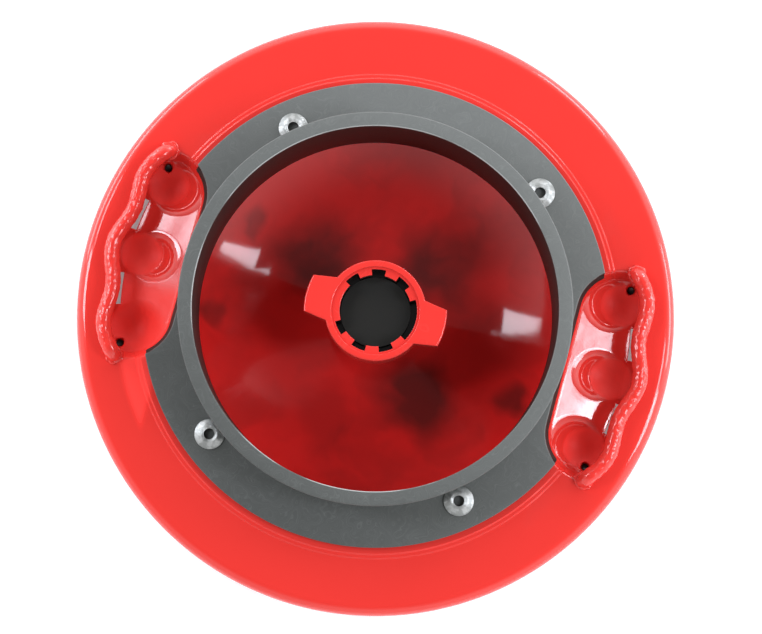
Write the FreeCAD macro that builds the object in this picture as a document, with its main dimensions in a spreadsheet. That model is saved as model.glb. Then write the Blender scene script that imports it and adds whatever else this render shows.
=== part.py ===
import FreeCAD, Part
import math
import os
import re

import Sketcher

# A dished blanking flange that lies face up: a pressed steel cover with a black riveted seat ring,
# two wavy grip bars over finger pockets and a castellated two-lug collar on a post in the bowl.
# The origin is the centre of the base disc's underside, +Z is the cover's axis and the grips lie
# on the X axis.

doc = FreeCAD.newDocument("blanking_flange")

# ---- driving dimensions, in millimetres and degrees ----

DIMENSIONS = {
    # pressed cover plate, its mouth and the raised land round it
    "mouth_radius": 78.0,
    "plate_sheet": 3.0,
    "rim_width": 13.65,
    "rim_round": 5.0,
    "skirt_depth": 10.0,
    "land_margin": 2.4,
    "land_rise": 1.6,
    "land_slope_run": 2.4,
    # dished bowl and the disc it stands on
    "bowl_depth": 30.0,
    "bowl_sheet": 2.4,
    "bowl_flat_radius": 22.0,
    "base_margin": 2.0,
    "base_sheet": 3.0,
    # grip pockets with their finger cups
    "finger_spacing": 33.7,
    "pocket_side": 0.4,
    "pocket_corner": 17.0,
    "floor_reach": 25.0,
    "floor_drop": 6.5,
    "pan_sheet": 1.2,
    "cup_radius": 8.4,
    "cup_depth": 5.0,
    "middle_cup_set_out": 9.4,
    "end_cup_set_out": 12.6,
    "cup_overhang": 6.0,
    "drain_radius": 2.0,
    "drain_set_out": 1.3,
    "drain_offset": 6.5,
    # wavy grip bars
    "bar_radius": 3.1,
    "bar_set_out": 4.7,
    "bar_hump_rise": 1.9,
    "bend_inside": 0.9,
    "leg_projection": 1.4,
    "window_margin": 1.1,
    # black seat ring
    "ring_band": 18.8,
    "ring_sheet": 3.8,
    "ring_bevel": 3.0,
    "lip_rise": 30.0,
    "lip_width": 5.9,
    "lip_flare": 2.0,
    "lip_round": 0.8,
    "sleeve_wall": 3.4,
    "sleeve_drop": 12.0,
    # tubular rivets
    "rivet_angle": 51.2,
    "rivet_head_radius": 6.3,
    "rivet_head_rise": 2.2,
    "rivet_edge": 0.7,
    "rivet_shank_radius": 3.2,
    "rivet_bore": 2.1,
    "rivet_tail_radius": 4.1,
    "rivet_tail_length": 4.0,
    # post in the middle of the bowl
    "post_radius": 14.0,
    "post_recess": 1.0,
    "shoulder_height": 2.5,
    "journal_radius": 9.0,
    "journal_wall": 2.3,
    # turning collar with its socket and lugs
    "hub_rise": 17.6,
    "neck_length": 12.0,
    "neck_wall": 5.85,
    "socket_radius": 17.1,
    "socket_depth": 12.0,
    "head_wall": 3.7,
    "web_sheet": 3.0,
    "rim_step": 1.0,
    "rim_step_depth": 1.2,
    "tooth_height": 2.4,
    "tooth_pitch": 40.0,
    "notch_width": 5.6,
    "lug_length": 8.6,
    "lug_tip_width": 15.4,
    "lug_root_width": 18.4,
    "lug_thickness": 7.0,
    "edge_round": 0.7,
    # bearing, clip, cap and stop pin of the collar
    "bush_wall": 1.6,
    "washer_sheet": 1.8,
    "clip_sheet": 1.2,
    "clip_reach": 2.6,
    "clip_groove": 0.7,
    "cap_sheet": 1.2,
    "cap_stem_length": 8.0,
    "cap_room": 0.65,
    "pin_radius": 1.2,
    "pin_rise": 2.4,
    "turn_range": 90.0,
    # clearances
    "seat_gap": 0.05,
    "running_gap": 0.05,
    "slip_gap": 0.3,
}

# What follows from the dimensions: radii outwards from the mouth, then heights above the base.
RULES = {
    "lip_inner_radius": "mouth_radius - slip_gap - sleeve_wall",
    "lip_outer_radius": "lip_inner_radius + lip_width",
    "collar_foot_radius": "lip_outer_radius - lip_flare",
    "ring_radius": "mouth_radius + ring_band",
    "land_radius": "ring_radius + land_margin",
    "bowl_outer_radius": "mouth_radius + bowl_sheet",
    "rivet_head_circle": "collar_foot_radius + rivet_head_radius",
    "rivet_tail_circle": "bowl_outer_radius + rivet_tail_radius",
    "rivet_circle": "max(rivet_head_circle; rivet_tail_circle) + slip_gap",
    "pocket_inner_edge": "bowl_outer_radius + seat_gap + pan_sheet",
    "pocket_half_width": "finger_spacing + cup_radius + pocket_side",
    "floor_outer_radius": "pocket_inner_edge + floor_reach",
    "cup_curve": "(cup_radius * cup_radius + cup_depth * cup_depth) / (2 * cup_depth)",
    "middle_cup_start": "pocket_inner_edge + middle_cup_set_out",
    "end_cup_start": "pocket_inner_edge + end_cup_set_out",
    "drain_circle": "floor_outer_radius + drain_set_out",
    "bar_mid_radius": "floor_outer_radius + bar_set_out",
    "window_outer_radius": "bar_mid_radius + window_margin",
    "cup_reach": "bar_mid_radius + cup_overhang",
    "flange_radius": "bar_mid_radius + rim_width",
    "finger_pitch": "2 * asin(finger_spacing / (2 * bar_mid_radius)) / 1deg",
    "bowl_wall_depth": "sleeve_drop + slip_gap",
    "bowl_run": "mouth_radius - bowl_flat_radius",
    "bowl_rise": "bowl_depth - bowl_wall_depth",
    "bowl_curve": "(bowl_run * bowl_run + bowl_rise * bowl_rise) / (2 * bowl_rise)",
    "back_curve": "bowl_curve + bowl_sheet",
    "back_run": "bowl_run + bowl_sheet",
    "back_rise": "back_curve - sqrt(back_curve * back_curve - back_run * back_run)",
    "base_radius": "bowl_flat_radius - base_margin",
    # the bar's humps and valleys are arcs on equal chords of the middle circle; each hump turns by
    # twice hump_turn and each valley by what keeps the arcs tangent
    "half_chord": "bar_mid_radius * sin(finger_pitch / 4 * 1deg)",
    "hump_turn": "2 * atan(bar_hump_rise / half_chord) / 1deg",
    "end_heading": "finger_pitch + 90 + hump_turn",
    "bar_bend_radius": "bar_radius + bend_inside",
    "wave_end_angle": "1.25 * finger_pitch * 1deg",
    "leg_angle": "end_heading * 1deg",
    "leg_x": "bar_mid_radius * cos(wave_end_angle) + bar_bend_radius * cos(leg_angle)",
    "leg_y": "bar_mid_radius * sin(wave_end_angle) + bar_bend_radius * sin(leg_angle)",
    "leg_hole_radius": "bar_radius + slip_gap / 2",
    "leg_length": "bar_bend_radius + plate_sheet + leg_projection",
    "hub_radius": "socket_radius + head_wall",
    "rim_step_radius": "socket_radius + rim_step",
    "tooth_tip_radius": "socket_radius - tooth_height",
    "lug_reach": "hub_radius + lug_length",
    "lug_root_radius": "(rim_step_radius + hub_radius) / 2",
    "bush_radius": "journal_radius + running_gap + bush_wall",
    "neck_radius": "bush_radius + neck_wall",
    "pin_circle": "bush_radius + neck_wall / 2",
    "pin_room_angle": "2 * asin((pin_radius + slip_gap) / pin_circle)",
    "washer_radius": "pin_circle - pin_radius - 2 * slip_gap",
    "groove_radius": "journal_radius - clip_groove",
    "post_bore": "groove_radius - journal_wall",
    "bowl_floor": "base_sheet + bowl_sheet",
    "face": "bowl_floor + bowl_depth",
    "land": "face + land_rise",
    "land_back": "land - plate_sheet",
    "plate_back": "face - plate_sheet",
    "ring_back": "land + seat_gap",
    "ring_face": "ring_back + ring_sheet",
    "lip_top": "face + lip_rise",
    "bar_height": "face + bar_bend_radius",
    "hub_top": "face + hub_rise",
    "head_height": "socket_depth + web_sheet",
    "web_top": "hub_top - socket_depth",
    "web_bottom": "hub_top - head_height",
    "neck_bottom": "web_bottom - neck_length",
    "washer_bottom": "neck_bottom - running_gap - washer_sheet",
    "shoulder_top": "washer_bottom - running_gap",
    "shoulder_bottom": "shoulder_top - shoulder_height",
    "clip_bottom": "web_top + slip_gap",
    "clip_top": "clip_bottom + clip_sheet",
    "post_top": "clip_top + clip_sheet",
    "cap_bottom": "post_top + seat_gap",
    "cap_top": "cap_bottom + cap_sheet",
    "tooth_top": "hub_top - rim_step_depth",
    "tooth_bottom": "cap_top + cap_room",
}

sheet = doc.addObject("Spreadsheet::Sheet", "Sizes")
for row, (name, number) in enumerate(DIMENSIONS.items(), start=1):
    sheet.set(f"A{row}", name)
    sheet.set(f"B{row}", str(number))
    sheet.setAlias(f"B{row}", name)
doc.recompute()


def sized(expression):
    """The expression with rules written out and each dimension made a reference to its cell."""
    def swap(found):
        name = found[0]
        if name in RULES:
            return "(" + sized(RULES[name]) + ")"
        return "Sizes." + name if name in DIMENSIONS else name

    return re.sub(r"[a-z_]+", swap, expression)


def value(expression):
    """The number that an expression of dimension names comes to."""
    return float(sheet.evalExpression(sized(expression)))


def check_objects():
    """Stop at the first object that failed to build."""
    for thing in doc.Objects:
        if "Invalid" in thing.State or "Error" in thing.State:
            raise RuntimeError(f"{thing.Name} failed: {thing.State}")


# ---- sketching and feature helpers ----

def new_body(label):
    body = doc.addObject("PartDesign::Body", label)
    body.Label = label
    return body


def new_sketch(body, name, role):
    """An empty sketch on one of the body's own origin planes."""
    sketch = body.newObject("Sketcher::SketchObject", name)
    plane = next(item for item in body.Origin.OriginFeatures if item.Role == role)
    sketch.AttachmentSupport = (plane, [""])
    sketch.MapMode = "FlatFace"
    return sketch


def bind(sketch, constraint, expression):
    """Add a constraint whose datum follows an expression of the sheet."""
    index = sketch.addConstraint(constraint)
    sketch.setExpression(f"Constraints[{index}]", sized(expression))


def place_point(sketch, edge, end, across, up):
    """Hold one end of a sketch edge at two coordinates; "0" puts it on the axis."""
    if across == "0":
        sketch.addConstraint(Sketcher.Constraint("PointOnObject", edge, end, -2))
    else:
        bind(sketch, Sketcher.Constraint("DistanceX", edge, end, value(across)), across)
    if up == "0":
        sketch.addConstraint(Sketcher.Constraint("PointOnObject", edge, end, -1))
    else:
        bind(sketch, Sketcher.Constraint("DistanceY", edge, end, value(up)), up)


def arc_between(start, end, radius, left_turn):
    """The shorter arc of a radius from start to end, turning left or right."""
    chord = end - start
    side = FreeCAD.Vector(-chord.y, chord.x, 0).normalize() * (1 if left_turn else -1)
    height = math.sqrt(max(radius ** 2 - chord.Length ** 2 / 4, 0))
    centre = (start + end) * 0.5 + side * height
    middle = centre - side * radius
    return Part.Arc(start, middle, end)


def draw_outline(sketch, corners, arcs=None):
    """Draw a closed outline through corners given as expression pairs.

    arcs maps the index of the corner an arc starts at to (radius expression, left turn).
    """
    arcs = arcs or {}
    points = [FreeCAD.Vector(value(across), value(up), 0) for across, up in corners]
    ends = []
    for index, start in enumerate(points):
        finish = points[(index + 1) % len(points)]
        if index not in arcs:
            ends.append((sketch.addGeometry(Part.LineSegment(start, finish)), 1, 2))
            continue
        radius, left_turn = arcs[index]
        edge = sketch.addGeometry(arc_between(start, finish, value(radius), left_turn))
        ends.append((edge, 1, 2) if left_turn else (edge, 2, 1))
    for index, (edge, first, last) in enumerate(ends):
        following, following_first, _ = ends[(index + 1) % len(ends)]
        sketch.addConstraint(Sketcher.Constraint("Coincident", edge, last, following, following_first))
        place_point(sketch, edge, first, *corners[index])
        if index in arcs:
            bind(sketch, Sketcher.Constraint("Radius", edge, value(arcs[index][0])), arcs[index][0])


def draw_circle(sketch, across, up, radius):
    centre = FreeCAD.Vector(value(across), value(up), 0)
    edge = sketch.addGeometry(Part.Circle(centre, FreeCAD.Vector(0, 0, 1), value(radius)))
    place_point(sketch, edge, 3, across, up)
    bind(sketch, Sketcher.Constraint("Radius", edge, value(radius)), radius)


def turn_profile(body, corners, arcs=None):
    """Revolve an outline of (radius, height) corners right round the Z axis."""
    sketch = new_sketch(body, body.Name + "_profile", "XZ_Plane")
    draw_outline(sketch, corners, arcs)
    revolution = body.newObject("PartDesign::Revolution", body.Name + "_turned")
    revolution.Profile = sketch
    revolution.ReferenceAxis = (sketch, ["V_Axis"])
    revolution.Angle = 360
    doc.recompute()


def cut_up(body, name, draw, start="0", length=None, taper="0deg"):
    """Cut a level sketch upwards from a height, by a length or through the whole body."""
    before = body.Shape.Volume
    sketch = new_sketch(body, name + "_sketch", "XY_Plane")
    sketch.setExpression("AttachmentOffset.Base.z", sized(start))
    draw(sketch)
    pocket = body.newObject("PartDesign::Pocket", name)
    pocket.Profile = sketch
    pocket.Reversed = True
    pocket.setExpression("TaperAngle", sized(taper))
    if length is None:
        pocket.Type = "ThroughAll"
    else:
        pocket.setExpression("Length", sized(length))
    doc.recompute()
    if body.Shape.Volume >= before:
        raise RuntimeError(f"{name} cuts nothing")
    return pocket


def repeat_round(body, feature, count, angle):
    """Repeat a feature about the Z axis, count times spread over an angle."""
    pattern = body.newObject("PartDesign::PolarPattern", feature.Name + "_pattern")
    pattern.Originals = [feature]
    axis = next(item for item in body.Origin.OriginFeatures if item.Role == "Z_Axis")
    pattern.Axis = (axis, [""])
    pattern.setExpression("Angle", sized(f"({angle}) * 1deg"))
    pattern.Occurrences = count
    body.Tip = pattern
    doc.recompute()
    return pattern


def dress_edges(body, kind, name, size, wanted):
    """Fillet or chamfer the edges of the body's tip that a test picks out."""
    tip = body.Tip
    names = [f"Edge{n}" for n, edge in enumerate(tip.Shape.Edges, start=1) if wanted(edge)]
    if not names:
        raise RuntimeError(f"{name} found no edges")
    dressed = body.newObject("PartDesign::" + kind, name)
    dressed.Base = (tip, names)
    dressed.setExpression("Radius" if kind == "Fillet" else "Size", sized(size))
    doc.recompute()
    return dressed


def is_circle(edge, radius, height):
    """Whether an edge is an arc of a radius about the Z axis at a height."""
    curve = edge.Curve
    return (isinstance(curve, Part.Circle) and abs(curve.Radius - radius) < 0.01
            and math.hypot(curve.Center.x, curve.Center.y) < 0.01
            and abs(curve.Center.z - height) < 0.01)


def round_circles(body, name, size, circles):
    """Fillet the body's circular edges, given as (radius, height) expressions."""
    wanted = [(value(radius), value(height)) for radius, height in circles]
    return dress_edges(body, "Fillet", name, size,
                       lambda edge: any(is_circle(edge, *circle) for circle in wanted))


def turned(angle):
    """A placement that turns a piece about the Z axis by an angle in degrees."""
    return FreeCAD.Placement(FreeCAD.Vector(), FreeCAD.Rotation(FreeCAD.Vector(0, 0, 1), angle))


def polar(radius, angle):
    """Expressions for the X and Y of a point at a radius and an angle in degrees."""
    return (f"({radius}) * cos(({angle}) * 1deg)", f"({radius}) * sin(({angle}) * 1deg)")


# ---- pocket and bar outlines that several pieces share ----

def pocket_outline(sketch, outer_radius):
    """A pocket opening: straight inner edge, two round corners and an arc at the outside."""
    outer_x = f"sqrt({outer_radius} * {outer_radius} - pocket_half_width * pocket_half_width)"
    corners = [
        ("pocket_inner_edge", "- (pocket_half_width - pocket_corner)"),
        ("pocket_inner_edge + pocket_corner", "- pocket_half_width"),
        (outer_x, "- pocket_half_width"),
        (outer_x, "pocket_half_width"),
        ("pocket_inner_edge + pocket_corner", "pocket_half_width"),
        ("pocket_inner_edge", "pocket_half_width - pocket_corner"),
    ]
    draw_outline(sketch, corners, {
        0: ("pocket_corner", True),
        2: (outer_radius, True),
        4: ("pocket_corner", True),
    })


# ---- cover plate: pressed sheet with a turned-down rim and a raised land for the ring ----

def make_flange_plate():
    body = new_body("flange_plate")
    turn_profile(body, [
        ("mouth_radius", "land_back"),
        ("land_radius - plate_sheet / 4", "land_back"),
        ("land_radius + land_slope_run - plate_sheet / 4", "plate_back"),
        ("flange_radius - plate_sheet", "plate_back"),
        ("flange_radius - plate_sheet", "face - skirt_depth"),
        ("flange_radius", "face - skirt_depth"),
        ("flange_radius", "face"),
        ("land_radius + land_slope_run", "face"),
        ("land_radius", "land"),
        ("mouth_radius", "land"),
    ])
    round_circles(body, "rim_outside_round", "rim_round", [("flange_radius", "face")])
    round_circles(body, "rim_inside_round", "rim_round - plate_sheet",
                  [("flange_radius - plate_sheet", "plate_back")])
    round_circles(body, "land_rounds", "land_rise / 2",
                  [("land_radius", "land"), ("land_radius + land_slope_run", "face")])
    window = cut_up(body, "grip_window",
                    lambda sketch: pocket_outline(sketch, "window_outer_radius"))
    repeat_round(body, window, 2, "360")

    def fixing_holes(sketch):
        for across, up in rivet_points():
            draw_circle(sketch, across, up, "rivet_shank_radius + running_gap")
        for sign_x in ("", "- "):
            for sign_y in ("", "- "):
                draw_circle(sketch, sign_x + "leg_x", sign_y + "leg_y", "leg_hole_radius")

    cut_up(body, "fixing_holes", fixing_holes)
    return body


def rivet_points():
    """Where the four rivets stand, mirrored about both axes."""
    across, up = polar("rivet_circle", "rivet_angle")
    return [(sign_x + f"({across})", sign_y + f"({up})")
            for sign_x in ("", "- ") for sign_y in ("", "- ")]


# ---- dished bowl, welded to the back of the plate round its mouth ----

def make_dished_bowl():
    body = new_body("dished_bowl")
    hole = "post_radius + seat_gap"
    turn_profile(body, [
        (hole, "base_sheet"),
        ("bowl_flat_radius", "base_sheet"),
        ("bowl_outer_radius", "base_sheet + back_rise"),
        ("bowl_outer_radius", "land_back - seat_gap"),
        ("mouth_radius", "land_back - seat_gap"),
        ("mouth_radius", "bowl_floor + bowl_rise"),
        ("bowl_flat_radius", "bowl_floor"),
        (hole, "bowl_floor"),
    ], {1: ("back_curve", True), 5: ("bowl_curve", False)})
    return body


# ---- base disc: doubler under the bowl that the post is welded through ----

def make_base_disc():
    body = new_body("base_disc")
    hole = "post_radius + seat_gap"
    turn_profile(body, [
        (hole, "0"),
        ("base_radius", "0"),
        ("base_radius", "base_sheet"),
        (hole, "base_sheet"),
    ])
    round_circles(body, "base_edge_round", "edge_round", [("base_radius", "0")])
    return body


# ---- grip pocket pans: pressed floor that falls outwards, with three finger cups ----

def floor_height(distance):
    """The pan floor's height at a distance from the axis."""
    fall = value("floor_drop / (floor_outer_radius - pocket_inner_edge)")
    return value("land_back - seat_gap") - fall * (distance - value("pocket_inner_edge"))


def cup_solid(start, radius, angle, top):
    """A finger cup's space: a shallow trough with ball ends, open to a height."""
    near = start + value("cup_radius")
    far = value("cup_reach - cup_radius")
    axis_height = floor_height(near) + value("cup_curve - cup_depth")
    along = FreeCAD.Vector(1, 0, 0)
    near_point = FreeCAD.Vector(near, 0, axis_height)
    far_point = FreeCAD.Vector(far, 0, axis_height)
    trough = [
        Part.makeSphere(radius, near_point),
        Part.makeCylinder(radius, far - near, near_point, along),
        Part.makeSphere(radius, far_point),
        Part.makeCylinder(radius, top - axis_height, near_point),
        Part.makeCylinder(radius, top - axis_height, far_point),
        Part.makeBox(far - near, 2 * radius, top - axis_height,
                     FreeCAD.Vector(near, -radius, axis_height)),
    ]
    solid = trough[0].multiFuse(trough[1:]).removeSplitter()
    solid.rotate(FreeCAD.Vector(), FreeCAD.Vector(0, 0, 1), angle)
    return solid


def pocket_prism(margin, outer_radius, bottom, top):
    """An upright prism of the pocket's plan, grown by a margin and cut off at a radius."""
    inner = value("pocket_inner_edge") - margin
    half_width = value("pocket_half_width") + margin
    corner = value("pocket_corner") + margin
    block = Part.makeBox(outer_radius + corner, 2 * half_width, top - bottom,
                         FreeCAD.Vector(inner, -half_width, bottom))
    corners = [edge for edge in block.Edges
               if abs(edge.Vertexes[0].X - inner) < 1e-6 and abs(edge.Vertexes[1].X - inner) < 1e-6
               and abs(edge.Vertexes[0].Z - edge.Vertexes[1].Z) > 1]
    block = block.makeFillet(corner, corners)
    return block.common(Part.makeCylinder(outer_radius, top - bottom, FreeCAD.Vector(0, 0, bottom)))


def below_floor(offset):
    """A block that fills everything under the sloping floor, lowered by an offset."""
    inner = value("pocket_inner_edge")
    reach = value("flange_radius")
    depth = value("face")
    profile = [
        FreeCAD.Vector(inner / 2, 0, floor_height(inner / 2) - offset),
        FreeCAD.Vector(reach, 0, floor_height(reach) - offset),
        FreeCAD.Vector(reach, 0, -depth),
        FreeCAD.Vector(inner / 2, 0, -depth),
    ]
    face = Part.Face(Part.makePolygon(profile + profile[:1]))
    face.translate(FreeCAD.Vector(0, -reach, 0))
    return face.extrude(FreeCAD.Vector(0, 2 * reach, 0))


def make_pocket_pan(label, angle):
    sheet_gauge = value("pan_sheet")
    # the pan stops under the land near the middle and under the lower rim further out
    land_back = value("land_back - seat_gap")
    rim_back = value("plate_back - seat_gap")
    bottom = value("base_sheet")
    cups = [(value("middle_cup_start"), 0.0)]
    cups += [(value("end_cup_start"), side * value("finger_pitch")) for side in (-1, 1)]
    floor_edge = value("floor_outer_radius")
    outside = pocket_prism(sheet_gauge, floor_edge, bottom, land_back).cut(below_floor(sheet_gauge))
    above_floor = pocket_prism(-sheet_gauge, floor_edge, value("land_back - plate_sheet / 2"),
                               land_back + 1)
    for start, turn in cups:
        cup = cup_solid(start, value("cup_curve") + sheet_gauge, turn, land_back)
        outside = outside.fuse(cup.cut(above_floor))
    inside = pocket_prism(0, floor_edge + 1, bottom, land_back + 1).cut(below_floor(0))
    for start, turn in cups:
        inside = inside.fuse(cup_solid(start, value("cup_curve"), turn, land_back + 1))
    pan = outside.cut(inside)
    beyond_land = value("land_radius - plate_sheet / 2")
    room = Part.makeCylinder(value("flange_radius"), land_back, FreeCAD.Vector(0, 0, rim_back))
    pan = pan.cut(room.cut(Part.makeCylinder(beyond_land, land_back, FreeCAD.Vector(0, 0, rim_back))))
    for side in (-1, 1):
        place = FreeCAD.Vector(value("drain_circle"), side * value("drain_offset"), 0)
        drain = Part.makeCylinder(value("drain_radius"), land_back, place)
        drain.rotate(FreeCAD.Vector(), FreeCAD.Vector(0, 0, 1), side * value("finger_pitch"))
        leg_place = FreeCAD.Vector(value("leg_x"), side * value("leg_y"), 0)
        pan = pan.cut([drain, Part.makeCylinder(value("leg_hole_radius"), land_back, leg_place)])
    solids = sorted(pan.removeSplitter().Solids, key=lambda solid: solid.Volume)
    feature = doc.addObject("Part::Feature", label)
    feature.Label = label
    feature.Shape = solids[-1]
    feature.Placement = turned(angle)
    return feature


# ---- grip bars: round rod bent in three humps, its ends bent down through the plate ----

def on_circle(radius, angle, height):
    turn = math.radians(angle)
    return FreeCAD.Vector(radius * math.cos(turn), radius * math.sin(turn), height)


def bent_stretch(start, middle, end, radius):
    """A stretch of round rod along the arc through three points."""
    circle = Part.Arc(start, middle, end).toShape().Curve.Center
    axis = (middle - start).cross(end - middle).normalize()
    heading = axis.cross(start - circle).normalize()
    disc = Part.Face(Part.Wire(Part.makeCircle(radius, start, heading)))
    turn = math.degrees((start - circle).getAngle(middle - circle))
    turn += math.degrees((middle - circle).getAngle(end - circle))
    return disc.revolve(circle, axis, turn)


def make_grip_bar(label, angle):
    rod = value("bar_radius")
    mid = value("bar_mid_radius")
    height = value("bar_height")
    step = value("finger_pitch / 2")
    half_chord = value("half_chord")
    chord_middle = mid * math.cos(math.radians(step / 2))
    valley_turn = value("hump_turn") - step
    crests = [chord_middle + value("bar_hump_rise"),
              chord_middle - half_chord * math.tan(math.radians(valley_turn / 2))]
    pieces = []
    for index in range(-2, 3):
        start, end = (on_circle(mid, step * (index + half), height) for half in (-0.5, 0.5))
        crest = on_circle(crests[index % 2], step * index, height)
        pieces.append(bent_stretch(start, crest, end, rod))
    bend = value("bar_bend_radius")
    leg_drop = value("leg_length - bar_bend_radius")
    for side in (-1, 1):
        leg = FreeCAD.Vector(value("leg_x"), side * value("leg_y"), height)
        wave_end = on_circle(mid, side * step * 2.5, height)
        outward = (leg - wave_end).normalize()
        centre = wave_end - FreeCAD.Vector(0, 0, bend)
        bend_end = leg - FreeCAD.Vector(0, 0, bend)
        halfway = centre + (outward + FreeCAD.Vector(0, 0, 1)).normalize() * bend
        pieces.append(bent_stretch(wave_end, halfway, bend_end, rod))
        pieces.append(Part.makeCylinder(rod, leg_drop, bend_end, FreeCAD.Vector(0, 0, -1)))
    feature = doc.addObject("Part::Feature", label)
    feature.Label = label
    feature.Shape = pieces[0].multiFuse(pieces[1:]).removeSplitter().Solids[0]
    feature.Placement = turned(angle)
    return feature


# ---- seat ring: black moulding with a flat band, a flared collar and a sleeve into the bowl ----

def make_seat_ring():
    body = new_body("seat_ring")
    sleeve = "mouth_radius - slip_gap"
    turn_profile(body, [
        ("lip_inner_radius", "face - sleeve_drop"),
        (sleeve, "face - sleeve_drop"),
        (sleeve, "ring_back"),
        ("ring_radius", "ring_back"),
        ("ring_radius", "ring_face"),
        ("collar_foot_radius", "ring_face"),
        ("lip_outer_radius", "lip_top"),
        ("lip_inner_radius", "lip_top"),
    ])
    round_circles(body, "lip_rounds", "lip_round", [
        ("lip_inner_radius", "lip_top"),
        ("lip_outer_radius", "lip_top"),
        ("ring_radius", "ring_face"),
    ])
    # the two cut-outs over the grip pockets widen upwards
    cutout = cut_up(
        body, "grip_cutout", lambda sketch: pocket_outline(sketch, "(ring_radius + pocket_corner)"),
        start="ring_back", length="ring_sheet", taper="atan(ring_bevel / ring_sheet)")
    repeat_round(body, cutout, 2, "360")

    def rivet_holes(sketch):
        for across, up in rivet_points():
            draw_circle(sketch, across, up, "rivet_shank_radius + running_gap")

    cut_up(body, "rivet_holes", rivet_holes)
    return body


# ---- tubular rivets: four aluminium rivets through the ring and the plate ----

def make_blind_rivets():
    body = new_body("rivet_pattern")
    head_base = "ring_face + seat_gap"
    tail_top = "land_back - seat_gap"
    turn_profile(body, [
        ("rivet_bore", f"{tail_top} - rivet_tail_length"),
        ("rivet_shank_radius", f"{tail_top} - rivet_tail_length"),
        ("rivet_tail_radius", f"{tail_top} - rivet_tail_length * 0.7"),
        ("rivet_tail_radius", tail_top),
        ("rivet_shank_radius", tail_top),
        ("rivet_shank_radius", head_base),
        ("rivet_head_radius", head_base),
        ("rivet_head_radius", f"{head_base} + rivet_edge"),
        ("rivet_shank_radius + rivet_edge", f"{head_base} + rivet_head_rise"),
        ("rivet_bore", f"{head_base} + rivet_head_rise"),
    ])
    rivets = []
    for index, (across, up) in enumerate(rivet_points(), start=1):
        rivet = doc.addObject("App::Link", f"rivet_{index}")
        rivet.LinkedObject = body
        rivet.LinkTransform = True
        rivet.setExpression("Placement.Base.x", sized(across))
        rivet.setExpression("Placement.Base.y", sized(up))
        rivets.append(rivet)
    group = doc.addObject("Part::Compound", "blind_rivets")
    group.Label = "blind_rivets"
    group.Links = rivets
    doc.recompute()
    return group


# ---- hub post: turned tube with the shoulder, journal and clip groove for the collar ----

def make_hub_post():
    body = new_body("hub_post")
    turn_profile(body, [
        ("post_bore", "post_recess"),
        ("post_radius", "post_recess"),
        ("post_radius", "shoulder_bottom"),
        ("neck_radius", "shoulder_bottom"),
        ("neck_radius", "shoulder_top"),
        ("journal_radius", "shoulder_top"),
        ("journal_radius", "clip_bottom - running_gap"),
        ("groove_radius", "clip_bottom - running_gap"),
        ("groove_radius", "clip_top + running_gap"),
        ("journal_radius", "clip_top + running_gap"),
        ("journal_radius", "post_top"),
        ("post_bore", "post_top"),
    ])

    def pin_hole(sketch):
        draw_circle(sketch, *polar("pin_circle", "turn_range / 2"), "pin_radius + seat_gap")

    cut_up(body, "pin_hole", pin_hole, start="shoulder_bottom", length="shoulder_height")
    return body


# ---- lug collar: castellated socket head with two lugs, turning on the post ----

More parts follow.
